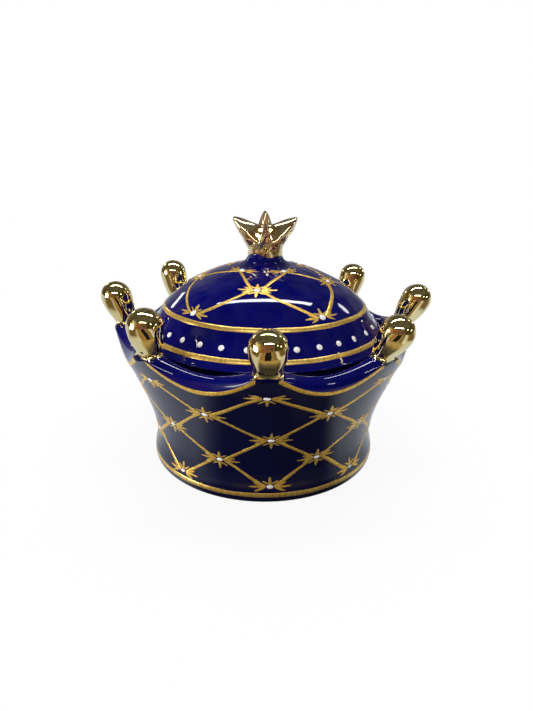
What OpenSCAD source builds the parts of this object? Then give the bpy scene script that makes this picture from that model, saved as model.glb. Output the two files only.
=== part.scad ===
// Lidded jar in the form of a crown, glazed ceramic with gold lustre.
// A waisted bowl carries a ledge for the lid and a scalloped lip that rises to eight
// peaks. An egg-shaped knob leans outwards on each peak. A domed lid rests on the
// ledge, inside the lip, and carries a small four-pointed crown.
// Millimetres, +Z up, the origin under the middle of the foot. -Y is the front.

/* [Bowl] */
// Radius of the rounded band just above the foot
base_r = 84.8; // [83:0.1:87]
// Height of the scalloped edge at the middle of a scallop
rim_low = 85.5; // [84:0.5:88]
// Rise of the scalloped edge from there to the peaks
rim_rise = 21.5; // [18:0.5:23]
// Height of the rounded top of the lip at the middle of a scallop
crest_low = 95.7; // [95:0.1:97]
// Rise of the top of the lip towards the peaks
crest_rise = 10.5; // [8:0.5:12]
// How much higher the lip's top stands at the back than at the front
back_lift = 4.5; // [0:0.5:5]
// Radius of the top of the lip at the middle of a scallop
crest_r = 96.8; // [96:0.1:98]
// Thickness of the bowl's wall
wall_t = 6.5; // [4:0.5:8]
// Thickness of the floor
floor_t = 6.5; // [5:0.5:9]

/* [Lid seat] */
// Height of the ledge that the lid rests on
ledge_h = 80; // [78:0.5:82]
// Radius of the mouth inside the ledge
mouth_r = 79; // [78.5:0.1:79.5]
// Thickness of the ledge
ledge_t = 7; // [6:0.5:9]

/* [Knobs] */
// Radius of the ring that the knobs' feet stand on
knob_ring_r = 103.4; // [102.5:0.1:104.5]
// Height of the middle of a knob's foot
knob_foot_h = 101.3; // [100:0.1:102.5]
// Radius of a knob's head
knob_r = 10.8; // [9.5:0.1:11.3]
// Radius of a knob's foot
knob_foot_r = 7.4; // [6.5:0.1:9]
// Length of a knob from its foot to the middle of its head
knob_len = 19.4; // [18:0.1:20.5]

/* [Lid] */
// Thickness of the lid's dome
lid_t = 5.5; // [4:0.5:7]
// Radius of the neck under the small crown
neck_r = 12.9; // [12.5:0.1:14]
// Height of the top of the neck
neck_h = 150.5; // [149:0.5:152]
// Clearance between the lid's locating ring and the mouth
lid_play = 1.2; // [0.6:0.1:2]
// Depth of the locating ring below the ledge
ring_drop = 6; // [4:0.5:8]

/* [Small crown] */
// Radius at the small crown's foot
finial_foot_r = 12.3; // [11:0.1:12.8]
// Radius that the four points reach
finial_tip_r = 22.6; // [20:0.1:24]
// Height of the bottom of the notches
notch_h = 161.8; // [160:0.1:164]
// Height of the middle of the top, where the four ridges meet
finial_mid_h = 171.6; // [169:0.1:174]

/* [Hidden] */

glaze_blue = "#0b0f52";
lustre_gold = "#b88f2e";

// Gap that keeps neighbouring pieces apart
gap = 0.2;
scallops = 8;
pitch = 360 / scallops;

// Columns of every table of a section: height above the table, radius
H = 0;
R = 1;

// Outer wall of the bowl, from the foot to above the highest peak
wall = [
    [0.0, base_r - 4.2],
    [1.6, base_r - 1.4],
    [4.4, base_r],
    [9.9, base_r - 0.3],
    [16.5, base_r - 1.6],
    [24.2, base_r - 2.2],
    [33.0, base_r - 1.1],
    [41.8, base_r + 0.9],
    [50.6, base_r + 3.6],
    [59.4, base_r + 6.7],
    [68.2, base_r + 10.2],
    [77.0, base_r + 14.0],
    [85.8, base_r + 18.3],
    [112.0, base_r + 31.0]
];
// Dome of the lid, from its widest edge up to the foot of the neck
dome = [
    [92.6, 90.6],
    [94.6, 90.0],
    [97.9, 87.8],
    [100.9, 85.2],
    [105.1, 81.8],
    [110.2, 77.9],
    [117.5, 73.1],
    [122.4, 68.2],
    [130.4, 58.3],
    [136.2, 47.3],
    [140.8, 36.3],
    [144.0, 25.3],
    [145.5, 18.2],
    [146.6, 15.2]
];

// The knobs were set by hand. From the front one towards the right: lean away from the
// upright in degrees, then how much longer, wider and further out each one is
LEAN = 0;
LONGER = 1;
WIDER = 2;
OUTER = 3;
knobs = [
    [16, -1.8, 0.7, 0.0],
    [27, 0.0, 0.1, -0.8],
    [26, 1.4, 0.0, -0.4],
    [21, 1.1, 0.1, -0.4],
    [20, 1.8, 0.1, -0.2],
    [16, 2.8, 0.1, 0.0],
    [16, 0.9, 0.1, -0.6],
    [7, -0.4, 0.7, -1.0]
];

// The small crown's edge, half a point in each row, from the front one towards the right:
// angle of the point and of the notch beside it, height of the point, how much less far
// out it reaches, how broad that half is and how suddenly it falls towards the notch
TIP = 0;
NOTCH = 1;
TOP = 2;
DRAWN_IN = 3;
BREADTH = 4;
FALL = 5;
halves = [
    [0, 24, 183.0, 2.6, 0.30, 2.2],
    [90, 24, 177.6, 0.0, 0.55, 2.4],
    [90, 135, 177.6, 0.0, 0.60, 2.4],
    [180, 135, 181.5, 0.0, 0.75, 1.8],
    [180, 225, 181.5, 0.0, 0.60, 1.8],
    [270, 225, 177.5, 0.0, 0.60, 2.4],
    [270, 336, 177.5, 0.0, 0.55, 2.4],
    [360, 336, 183.0, 2.6, 0.30, 2.2]
];

// Clearance under the foot, and the width of the ring that touches the table
recess_h = 2.5;
foot_w = 7;
// Height at which the rounding between the wall's inside and the floor starts, and how
// far that rounding reaches inwards
floor_rounding_h = 16.5;
floor_rounding = 9;
// Small bevel on the edges of the bowl's ledge and of the lid's seat
bevel = 1.5;

// How much further out the lip's top stands at the peaks
crest_out = 6.6;
// Width of the lip from its top to its inner edge, and how much less that is at the peaks
lip_w = 4.4;
lip_w_less = 2;
// Height of the lip's inner edge above the ledge
lip_in_h = 10;

// Underside of the lid's widest edge, down to its seat
under_edge = [
    [90.8, 89.6],
    [89.8, 87.6],
    [88.0, 86.6]
];
// Height of the foot of the neck, which widens by neck_flare there
neck_foot_h = 148.3;
neck_flare = 0.5;
// Thickness of the lid's locating ring
ring_t = 5;
// Steps between two rows of the dome, and the ones at both ends that its inside leaves out
dome_steps = 3;
inside_first = 12;
inside_last = 8;
// Depth of the rounding between the locating ring and the dome's inside
ring_blend = 8;

// The small crown's waist: how far it lies under the notches, how much wider than the foot
// it is, and how much less that is in front. The flank widens slowly up to there, then
// swells out to the points. The notches lie a little further out than the waist.
waist_drop = 1.4;
waist_out = 1.9;
waist_less = 1.1;
waist_start = 2.4;
swell = 0.375;
notch_out = 0.2;
// Rings of the small crown, as shares of the way up to the waist, from there up to the
// edge, and from the edge in along the top
foot_rings = [0, 0.5, 1];
flank_rings = [0.2, 0.4, 0.6, 0.8, 1];
top_rings = [0.9, 0.7, 0.5, 0.3, 0.12];

// Steps round a turned piece in the preview, and of a knob's side and of its head
around = 128;
knob_steps = 8;
// Steps of the lip's section: up the outside, over to its top and down the inside
wall_part = 4;
out_part = 6;
in_part = 4;
// Steps of the rounding between the wall's inside and the floor
floor_steps = 4;
// Columns round one scallop, closer together towards the peaks
scallop_steps = 16;
crowding = 0.45;
function column(i) = let(t = i / scallop_steps, whole = floor(t), part = t - whole)
    pitch * (whole + part - crowding * sin(360 * part) / 360 * 180 / PI);
columns = scallops * scallop_steps;

// -1 and 1 at two neighbouring peaks, 0 at the middle of the scallop between them
function across(a) = let(p = a / pitch) 2 * (p - floor(p)) - 1;
// Angle of the peak nearest to a
function peak_of(a) = pitch * round(a / pitch);

// Point of a smooth curve through p1 and p2, at t from 0 to 1
function through(p0, p1, p2, p3, t) =
    0.5 * (2 * p1 + (p2 - p0) * t + (2 * p0 - 5 * p1 + 4 * p2 - p3) * t * t
        + (3 * p1 - p0 - 3 * p2 + p3) * t * t * t);
// Smooth curve through all rows of a table, with n steps between neighbours
function smooth(rows, n) = let(last = len(rows) - 1) concat(
    [for (i = [0:last - 1], k = [0:n - 1])
        through(rows[max(0, i - 1)], rows[i], rows[i + 1], rows[min(last, i + 2)], k / n)],
    [rows[last]]
);

wall_steps = 3;
wall_curve = smooth(wall, wall_steps);
function wall_r(h) = lookup(h, wall_curve);
function rim_h(a) = rim_low + rim_rise * pow(across(a), 2);
function crest(a) = let(q = pow(across(a), 2))
    [
        crest_low + crest_rise * q + back_lift * (1 - cos(a)) / 2 * (1 - q * q),
        crest_r + crest_out * q
    ];
// Inner edge of the lip, above the ledge
function lip_in(a) = [ledge_h + lip_in_h, crest_r - lip_w + lip_w_less * pow(across(a), 2)];

// A point of the section at angle a. What would stand above the flat that carries the
// knob is pushed down onto it, along the knob's axis.
function point(a, p) =
    let(
        d = a - peak_of(a),
        knob = knobs[round(a / pitch) % scallops],
        lean = knob[LEAN],
        along = p[R] * cos(d),
        over = (along - knob_ring_r - knob[OUTER]) * sin(lean) + (p[H] - knob_foot_h) * cos(lean),
        cut = max(0, over),
        x = along - cut * sin(lean),
        y = p[R] * sin(d),
        h = p[H] - cut * cos(lean),
        turn = peak_of(a) - 90
    )
    [x * cos(turn) - y * sin(turn), x * sin(turn) + y * cos(turn), h];

// Section of the lip at angle a, from the outside of its bottom over the top to the inside
function lip_section(a) =
    let(
        rim = [rim_h(a), wall_r(rim_h(a))],
        top = crest(a),
        inner = lip_in(a),
        foot = ledge_h + gap
    )
    concat(
        [for (k = [0:wall_part]) let(h = foot + (rim[H] - foot) * k / wall_part) [h, wall_r(h)]],
        [for (k = [1:out_part]) let(f = 90 * k / out_part)
            [rim[H] + (top[H] - rim[H]) * sin(f), top[R] + (rim[R] - top[R]) * cos(f)]],
        [for (k = [1:in_part]) let(f = 90 * k / in_part)
            [inner[H] + (top[H] - inner[H]) * cos(f), top[R] - (top[R] - inner[R]) * sin(f)]],
        [[foot, inner[R]]]
    );

module bowl_wall() {
    top_h = ledge_h - ledge_t - gap;
    outside = [for (p = wall_curve) if (p[H] < top_h) p];
    inside = [for (p = outside) if (p[H] > floor_rounding_h) [p[H], p[R] - wall_t]];
    foot_in = wall[0][R] - foot_w;
    floor_r = wall_r(floor_rounding_h) - wall_t;
    section = concat(
        [[recess_h, 0], [recess_h, foot_in - recess_h], [0, foot_in]],
        outside,
        [[top_h, wall_r(top_h)], [top_h, wall_r(top_h) - wall_t]],
        [for (i = [len(inside) - 1:-1:0]) inside[i]],
        [
            for (k = [0:floor_steps]) let(f = 90 * k / floor_steps)
            [
                floor_t + (floor_rounding_h - floor_t) * (1 - sin(f)),
                floor_r - floor_rounding * (1 - cos(f))
            ]
        ],
        [[floor_t, 0]]
    );
    color(glaze_blue)
        rotate_extrude($fn = around)
        polygon([for (p = section) [p[R], p[H]]]);
}

// Ring at the top of the wall, with the ledge that reaches inwards under the lid
module lid_ledge() {
    foot_h = ledge_h - ledge_t;
    section = concat(
        [[foot_h, mouth_r + bevel], [foot_h, wall_r(foot_h)]],
        [for (p = wall_curve) if (p[H] > foot_h && p[H] < ledge_h) p],
        [[ledge_h, wall_r(ledge_h)], [ledge_h, mouth_r + bevel], [ledge_h - bevel, mouth_r]],
        [[foot_h + bevel, mouth_r]]
    );
    color(glaze_blue)
        rotate_extrude($fn = around)
        polygon([for (p = section) [p[R], p[H]]]);
}

module crown_lip() {
    sections = [for (i = [0:columns - 1]) lip_section(column(i))];
    rows = len(sections[0]);
    points = [for (j = [0:rows - 1], i = [0:columns - 1]) point(column(i), sections[i][j])];
    faces = [
        for (j = [0:rows - 1], i = [0:columns - 1])
        let(
            a = j * columns + i,
            b = j * columns + (i + 1) % columns,
            c = (j + 1) % rows * columns + i,
            d = (j + 1) % rows * columns + (i + 1) % columns
        )
        each [[a, c, d], [a, d, b]]
    ];
    color(glaze_blue) polyhedron(points, faces);
}

// Egg of revolution that stands on its narrow end
module knob(number) {
    set = knobs[number - 1];
    head_h = knob_len + set[LONGER];
    head_r = knob_r + set[WIDER];
    side = [
        for (k = [0:knob_steps - 1]) let(t = k / knob_steps)
        [knob_foot_r + (head_r - knob_foot_r) * sin(90 * t), head_h * t]
    ];
    head = [
        for (k = [0:knob_steps]) let(f = 90 * k / knob_steps)
        [head_r * cos(f), head_h + head_r * sin(f)]
    ];
    color(lustre_gold)
        rotate([0, 0, pitch * (number - 1) - 90])
        translate([knob_ring_r + set[OUTER], 0, knob_foot_h])
        rotate([0, set[LEAN], 0])
        translate([0, 0, gap])
        rotate_extrude($fn = around)
        polygon(concat([[0, 0]], side, head));
}

module lid_dome() {
    outside = smooth(dome, dome_steps);
    // The dome's inside follows its outside, a wall's thickness further in
    inside = [
        for (i = [inside_first:len(outside) - inside_last])
        let(d = outside[i + 1] - outside[i - 1], l = norm(d))
        [outside[i][H] - lid_t * abs(d[R]) / l, outside[i][R] - lid_t * abs(d[H]) / l]
    ];
    seat_h = ledge_h + gap;
    seat_r = under_edge[len(under_edge) - 1][R];
    ring_r = mouth_r - lid_play;
    ring_in = ring_r - ring_t;
    ring_h = ledge_h - ring_drop;
    section = concat(
        [[neck_h, 0], [neck_h, neck_r], [neck_foot_h, neck_r + neck_flare]],
        [for (i = [len(outside) - 1:-1:0]) outside[i]],
        under_edge,
        [[seat_h + bevel, seat_r], [seat_h, seat_r - bevel], [seat_h, ring_r]],
        [[ring_h + bevel, ring_r], [ring_h, ring_r - bevel]],
        [[ring_h, ring_in + bevel], [ring_h + bevel, ring_in]],
        [[inside[0][H] - ring_blend, ring_in]],
        inside,
        [[inside[len(inside) - 1][H] + gap, 0]]
    );
    color(glaze_blue)
        rotate_extrude($fn = around)
        polygon([for (p = section) [p[R], p[H]]]);
}

// Steps between a point and the notch beside it, closer together towards the point
tip_steps = 8;
tip_crowding = 1.4;
// 1 at a point, 0 in the notch beside it, at share t of the way between them
function bell(half, t) = 1 / (1 + pow(t / half[BREADTH], half[FALL]));
function sharpness(half, t) = (bell(half, t) - bell(half, 1)) / (1 - bell(half, 1));
// Radius of the waist at angle a
function waist_r(a) = finial_foot_r + waist_out - waist_less * pow(max(0, cos(a)), 2);
// Columns of the edge's rows: angle, height, radius
ANGLE = 0;
EDGE_H = 1;
EDGE_R = 2;
function edge_row(half, k) =
    let(
        t = pow(k / tip_steps, tip_crowding),
        s = sharpness(half, t),
        notch_r = waist_r(half[NOTCH]) + notch_out
    )
    [
        half[TIP] + (half[NOTCH] - half[TIP]) * t,
        notch_h + (half[TOP] - notch_h) * s,
        notch_r + (finial_tip_r - half[DRAWN_IN] - notch_r) * s
    ];
finial_edge = [
    for (half = halves) each half[TIP] < half[NOTCH]
        ? [for (k = [0:tip_steps - 1]) edge_row(half, k)]
        : [for (k = [tip_steps:-1:1]) edge_row(half, k)]
];

module finial() {
    foot_h = neck_h + gap;
    waist_h = notch_h - waist_drop;
    n = len(finial_edge);
    foot = [
        for (v = foot_rings)
        [for (row = finial_edge)
            [
                foot_h + (waist_h - foot_h) * v,
                finial_foot_r + (waist_r(row[ANGLE]) - finial_foot_r) * pow(v, waist_start)
            ]]
    ];
    flank = [
        for (v = flank_rings)
        [for (row = finial_edge) let(from = waist_r(row[ANGLE]))
            [
                waist_h + (row[EDGE_H] - waist_h) * v,
                from + (row[EDGE_R] - from) * v * (1 + swell * (1 - v))
            ]]
    ];
    top = [
        for (v = top_rings)
        [for (row = finial_edge)
            [finial_mid_h + (row[EDGE_H] - finial_mid_h) * v, row[EDGE_R] * v]]
    ];
    rings = [
        for (ring = concat(foot, flank, top))
        [for (i = [0:n - 1]) let(a = finial_edge[i][ANGLE])
            [ring[i][R] * sin(a), -ring[i][R] * cos(a), ring[i][H]]]
    ];
    count = len(rings);
    points = concat([for (ring = rings) each ring], [[0, 0, finial_mid_h]]);
    sides = [
        for (j = [0:count - 2], i = [0:n - 1])
        let(a = j * n + i, b = j * n + (i + 1) % n, c = a + n, d = b + n)
        each [[a, c, d], [a, d, b]]
    ];
    foot_cap = [for (i = [0:n - 1]) i];
    inner = (count - 1) * n;
    middle = [for (i = [0:n - 1]) [inner + i, count * n, inner + (i + 1) % n]];
    color(lustre_gold) polyhedron(points, concat([foot_cap], sides, middle));
}

bowl_wall();
lid_ledge();
crown_lip();
knob(1);  // knob_1
knob(2);  // knob_2
knob(3);  // knob_3
knob(4);  // knob_4
knob(5);  // knob_5
knob(6);  // knob_6
knob(7);  // knob_7
knob(8);  // knob_8
lid_dome();
finial();
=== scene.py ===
# Crown-shaped lidded jar of glazed earthenware with gold lustre and white enamel dots.
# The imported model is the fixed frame. Shapes are worked out in its millimetres:
# +Z up, origin under the middle of the foot, -Y the front, azimuths from the front
# towards the right.
import math

import bpy
import numpy as np
from mathutils import Matrix


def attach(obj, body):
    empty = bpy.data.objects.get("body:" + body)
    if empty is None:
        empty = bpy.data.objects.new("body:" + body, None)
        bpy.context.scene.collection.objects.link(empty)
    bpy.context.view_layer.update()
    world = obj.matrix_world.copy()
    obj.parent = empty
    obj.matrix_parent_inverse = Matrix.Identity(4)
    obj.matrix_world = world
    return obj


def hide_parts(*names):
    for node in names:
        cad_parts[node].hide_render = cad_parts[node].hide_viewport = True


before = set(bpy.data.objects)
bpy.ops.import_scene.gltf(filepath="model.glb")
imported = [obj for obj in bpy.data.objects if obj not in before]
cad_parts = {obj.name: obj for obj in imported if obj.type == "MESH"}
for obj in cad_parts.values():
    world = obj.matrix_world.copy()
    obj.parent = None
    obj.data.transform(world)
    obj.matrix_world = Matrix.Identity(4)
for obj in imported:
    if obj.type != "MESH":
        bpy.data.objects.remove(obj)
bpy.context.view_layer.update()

mm = 0.001  # metres in a millimetre
pitch = 45.0  # degrees from one peak to the next
sharpAngle = 50.0  # degrees from which an edge is shaded sharp


# Curves and grids

def smoothCurve(rows, steps):
    # Catmull-Rom curve through all rows a, b, c, d:
    # 0.5 (2b + (c - a) t + (2a - 5b + 4c - d) t^2 + (3b - a - 3c + d) t^3)
    rows = np.asarray(rows, float)
    more = np.vstack([rows[:1], rows, rows[-1:]])
    t = (np.arange(steps) / steps)[None, :, None]
    a, b, c, d = (more[i:len(more) - 3 + i, None, :] for i in range(4))
    curve = 2 * b + (c - a) * t + (2 * a - 5 * b + 4 * c - d) * t ** 2 \
        + (3 * b - a - 3 * c + d) * t ** 3
    return np.vstack([0.5 * curve.reshape(-1, rows.shape[1]), rows[-1:]])


def unit(vectors):
    # v / |v|
    return vectors / np.linalg.norm(vectors, axis=-1, keepdims=True)


def between(a, b, share):
    # a + (b - a) share
    return a + (b - a) * share


def turnOf(count):
    # this many even angles in degrees
    return np.arange(count) * 360 / count


def measured(curve):
    # length along a curve of (height, radius) rows, and its outward normal (-dr, dh)
    step = np.gradient(curve, axis=0)
    normal = unit(np.stack([-step[:, 1], step[:, 0]], 1))
    steps = np.linalg.norm(np.diff(curve, axis=0), axis=1)
    return {"curve": curve, "normal": normal, "length": np.concatenate([[0], np.cumsum(steps)])}


def lengthAt(profile, height):
    return np.interp(height, profile["curve"][:, 0], profile["length"])


def radiusAt(profile, along):
    return np.interp(along, profile["length"], profile["curve"][:, 1])


def onAxis(h, r, azimuth):
    # (r sin a, -r cos a, h)
    a = np.radians(azimuth)
    return np.stack([r * np.sin(a), -r * np.cos(a), h + 0 * a], -1)


def onProfile(profile, azimuth, along, lift):
    # the points with (h, r) = curve(s) + lift * normal(s)
    h, r = (np.interp(along, profile["length"], profile["curve"][:, k])
            + lift * np.interp(along, profile["length"], profile["normal"][:, k])
            for k in (0, 1))
    return onAxis(h, r, azimuth)


def revolve(rows, azimuths):
    # every (h, r) row at every azimuth
    h, r = np.asarray(rows, float).T[:, :, None]
    return onAxis(h, r, azimuths[None, :])


def onGrid(grid, row, column):
    # blend of the four points round (row, column), the columns closing round
    row = np.clip(row, 0, grid.shape[0] - 1.001)
    i, j = np.floor(row).astype(int), np.floor(column).astype(int)
    u, v = (row - i)[..., None], (column - j)[..., None]
    n = grid.shape[1]
    near = between(grid[i, j % n], grid[i, (j + 1) % n], v)
    return between(near, between(grid[i + 1, j % n], grid[i + 1, (j + 1) % n], v), u)


def eased(x):
    # 3x^2 - 2x^3 between 0 and 1
    x = np.clip(x, 0, 1)
    return x * x * (3 - 2 * x)


def softened(before, here, after):
    # a quarter of each neighbour and half of what is there
    return 0.25 * (before + after) + 0.5 * here


# Meshes

def kneaded(points, centre, height, length, seed, fade=1):
    # moves points away from the centre by fade height (S / 3 - 1), where S sums eight sine
    # waves of this length in seeded directions
    source = np.random.default_rng(seed)
    ways = unit(source.normal(size=(8, 3))) * 2 * math.pi / length
    waves = np.sin(points @ ways.T + source.uniform(0, 2 * math.pi, 8))
    return points + fade * height * (waves.sum(-1)[..., None] / 3 - 1) * unit(points - centre)


def gridFaces(rows, columns, closedRows=False):
    # quads between neighbours, the columns closing round
    i = np.arange(rows if closedRows else rows - 1)[:, None]
    j = np.arange(columns)[None, :]
    up, on = (i + 1) % rows, (j + 1) % columns
    corners = [i * columns + j, i * columns + on, up * columns + on, up * columns + j]
    return np.stack(corners, -1).reshape(-1, 4)


def outward(points, quads, tris):
    # turns the faces if the signed volume, the sum of a . (b x c), is negative
    half = np.vstack([quads[:, [0, 1, 2]], quads[:, [0, 2, 3]], tris]) if len(quads) else tris
    a, b, c = (points[half[:, k]] for k in range(3))
    if np.einsum("ij,ij->i", a, np.cross(b, c)).sum() < 0:
        quads, tris = quads[:, ::-1], tris[:, ::-1]
    return points, quads, tris


def shells(grids):
    # closed shells from (count, rows, columns, 3): a centre point closes each end
    count, rows, columns = grids.shape[:3]
    ends = np.stack([grids[:, 0].mean(1), grids[:, -1].mean(1)], 1)
    points = np.concatenate([grids.reshape(count, -1, 3), ends], 1)
    ring = np.arange(columns)
    on = (ring + 1) % columns
    top = rows * columns
    first = np.stack([on, ring, np.full(columns, top)], -1)
    last = np.stack([ring + top - columns, on + top - columns, np.full(columns, top + 1)], -1)
    step = (np.arange(count) * (top + 2))[:, None, None]
    quads = (gridFaces(rows, columns)[None] + step).reshape(-1, 4)
    tris = (np.vstack([first, last])[None] + step).reshape(-1, 3)
    return outward(points.reshape(-1, 3), quads, tris)


def rings(grids):
    # closed bands from (count, rows, columns, 3): each closes round both ways
    count, rows, columns = grids.shape[:3]
    step = (np.arange(count) * rows * columns)[:, None, None]
    quads = (gridFaces(rows, columns, True)[None] + step).reshape(-1, 4)
    return outward(grids.reshape(-1, 3), quads, np.zeros((0, 3), int))


def single(grid, number=0):
    # one closed shell and its material's number
    return (*shells(grid[None]), number)


def added(name, data):
    thing = bpy.data.objects.new(name, data)
    bpy.context.scene.collection.objects.link(thing)
    return thing


def buildPiece(name, parts, materials, body, replaced=()):
    # parts: (points, quads, triangles, material number of all or of each quad)
    corners, sizes, finish, points, base = [], [], [], [], 0
    for shape, quads, tris, number in parts:
        points.append(shape)
        corners += [(quads + base).ravel(), (tris + base).ravel()]
        sizes += [np.full(len(quads), 4), np.full(len(tris), 3)]
        finish += [np.broadcast_to(number, len(quads)), np.full(len(tris), np.min(number))]
        base += len(shape)
    points, corners = np.concatenate(points) * mm, np.concatenate(corners)
    sizes, finish = np.concatenate(sizes), np.concatenate(finish)
    mesh = bpy.data.meshes.new(name)
    mesh.vertices.add(len(points))
    mesh.vertices.foreach_set("co", points.astype(np.float32).ravel())
    mesh.loops.add(len(corners))
    mesh.loops.foreach_set("vertex_index", corners.astype(np.int32))
    mesh.polygons.add(len(sizes))
    starts = np.concatenate([[0], np.cumsum(sizes)[:-1]])
    mesh.polygons.foreach_set("loop_start", starts.astype(np.int32))
    mesh.polygons.foreach_set("material_index", finish.astype(np.int32))
    mesh.update(calc_edges=True)
    mesh.validate()
    mesh.polygons.foreach_set("use_smooth", np.ones(len(sizes), bool))
    mesh.set_sharp_from_angle(angle=math.radians(sharpAngle))
    for material in materials:
        mesh.materials.append(material)
    piece = added(name, mesh)
    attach(piece, body)
    if replaced:
        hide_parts(*replaced)
    print("piece", name, len(points), "points")


# Materials

def linear(hexColour):
    # sRGB to linear light: c / 12.92 up to 0.04045, ((c + 0.055) / 1.055)^2.4 above
    c = np.array([int(hexColour[i:i + 2], 16) for i in (1, 3, 5)]) / 255
    c = np.where(c <= 0.04045, c / 12.92, ((c + 0.055) / 1.055) ** 2.4)
    return (*c.tolist(), 1.0)


def addNode(tree, kind, inputs={}, **settings):
    # an input that is a socket gets a link, the others values
    made = tree.nodes.new("ShaderNode" + kind)
    for key, value in settings.items():
        setattr(made, key, value)
    for key, value in inputs.items():
        if isinstance(value, bpy.types.NodeSocket):
            tree.links.new(value, made.inputs[key])
        else:
            made.inputs[key].default_value = value
    return made


def calc(tree, operation, *values):
    # one step of arithmetic
    made = addNode(tree, "Math", dict(enumerate(values)), operation=operation)
    return made.outputs["Value"]


def calcVector(tree, operation, *values):
    # gives a vector, or a number for lengths and dot products
    made = addNode(tree, "VectorMath", dict(enumerate(values)), operation=operation)
    return made.outputs["Value" if operation in ("LENGTH", "DOT_PRODUCT") else "Vector"]


def axesOf(tree, place):
    return addNode(tree, "SeparateXYZ", {"Vector": place}).outputs


def noise(tree, place, size, detail, output="Fac"):
    # soft waves of this size round 0.5, with finer layers by detail
    return addNode(tree, "TexNoise", {
        "Vector": place, "Scale": 1 / size, "Detail": detail,
    }).outputs[output]


def ranged(tree, value, low, high, to=(0.0, 1.0), smooth=False):
    # the range from low to high, carried over to the range "to"
    return addNode(tree, "MapRange", {
        "Value": value, "From Min": low, "From Max": high, "To Min": to[0], "To Max": to[1],
    }, interpolation_type="SMOOTHSTEP" if smooth else "LINEAR").outputs["Result"]


def blend(tree, share, first, second):
    # first + share (second - first), each a socket or a colour
    first, second = (linear(c) if isinstance(c, str) else c for c in (first, second))
    return addNode(tree, "Mix", {"Factor": share, "A": first, "B": second},
                   data_type="RGBA").outputs["Result"]


def ramp(tree, share, stops):
    # colours at their places along a share from 0 to 1
    made = addNode(tree, "ValToRGB", {"Fac": share})
    elements = made.color_ramp.elements
    for i, (place, shade) in enumerate(stops):
        step = elements[i] if i < 2 else elements.new(place)
        step.position, step.color = place, linear(shade)
    return made.outputs["Color"]


def bumped(tree, height, distance):
    # normals of a skin that rises by this many mm
    return addNode(tree, "Bump", {
        "Height": height, "Distance": distance * mm, "Strength": 1.0,
    }).outputs["Normal"]


def emptyTree(owner):
    owner.use_nodes = True
    owner.node_tree.nodes.clear()
    return owner.node_tree


def newMaterial(name):
    material = bpy.data.materials.new(name)
    tree = emptyTree(material)
    return material, tree, addNode(tree, "TexCoord").outputs["Object"]


def finished(material, inputs):
    shader = addNode(material.node_tree, "BsdfPrincipled", inputs)
    addNode(material.node_tree, "OutputMaterial", {"Surface": shader.outputs["BSDF"]})
    return material


def makeFired(name, values):
    # two colours blended by noise, and a relief of noise. Sizes and height are in mm.
    material, tree, place = newMaterial(name)
    size, detail = values["patches"]
    inputs = {"Base Color": blend(tree, noise(tree, place, size * mm, detail), *values["colours"])}
    if "relief" in values:
        size, detail, height = values["relief"]
        inputs["Normal"] = bumped(tree, noise(tree, place, size * mm, detail), height)
    return finished(material, inputs | values["shader"])


# Cobalt blue glaze on earthenware, poured and fired: a clear dark blue glass whose skin
# waves a little, so reflections are sharp but not straight.
glaze = {"patches": (14.0, 3.0), "relief": (9.0, 1.0, 0.03),
         "shader": {"Roughness": 0.04, "IOR": 1.47}}
thinColours = ("#000152", "#010466")  # on the lid and on top of the lip
deepAndPaintedShadeColours = ("#05072c", "#090c3a")  # where it ran down the wall and gathered; also under the lid's edge, as painted shade
# White relief enamel, dropped on with a brush and fired: smooth, thick, a little soft in
# its gloss, with a faint warm unevenness.
enamel = {"colours": ("#f4f4f6", "#ffffff"), "patches": (2.0, 2.0),
          "shader": {"Roughness": 0.22, "IOR": 1.5}}
# Fired earthenware without glaze, where the foot stood on the kiln shelf: matt, sandy,
# cream to light brown.
clay = {"colours": ("#b79a78", "#dcc8a8"), "patches": (0.8, 4.0), "relief": (0.8, 4.0, 0.05),
        "shader": {"Roughness": 0.85}}
lustres = [  # name, colour where thick, where thin, roughness, metallic, mm from patch to
    # patch and from grain to grain, height of the grains in mm, half the patches' range
    ("pouredGoldLustre", "#f6e9b2", "#ead28e", 0.04, 1.0, 20.0, 1.5, 0.003, 0.25),
    ("brushedGoldLustre", "#f8d264", "#cc9a3c", 0.34, 0.55, 1.6, 0.5, 0.03, 0.18),
    ("bandedGoldLustre", "#f6d67c", "#c8993c", 0.30, 0.60, 1.4, 0.5, 0.012, 0.22),
    ("pouredBronzeLustre", "#ece0b2", "#cfa67c", 0.06, 0.92, 9.0, 1.5, 0.004, 0.12),
]
wheel = {
    "turned": "bandedGoldLustre",  # the one that was brushed on the turning wheel
    "radius": 80.0,  # mm, at which the marks have their right length
    "squeeze": 0.12,  # of heights, which draws the marks out upwards
    "roughnessRange": (0.7, 1.3),  # of all lustres, from grain to grain
}


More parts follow.
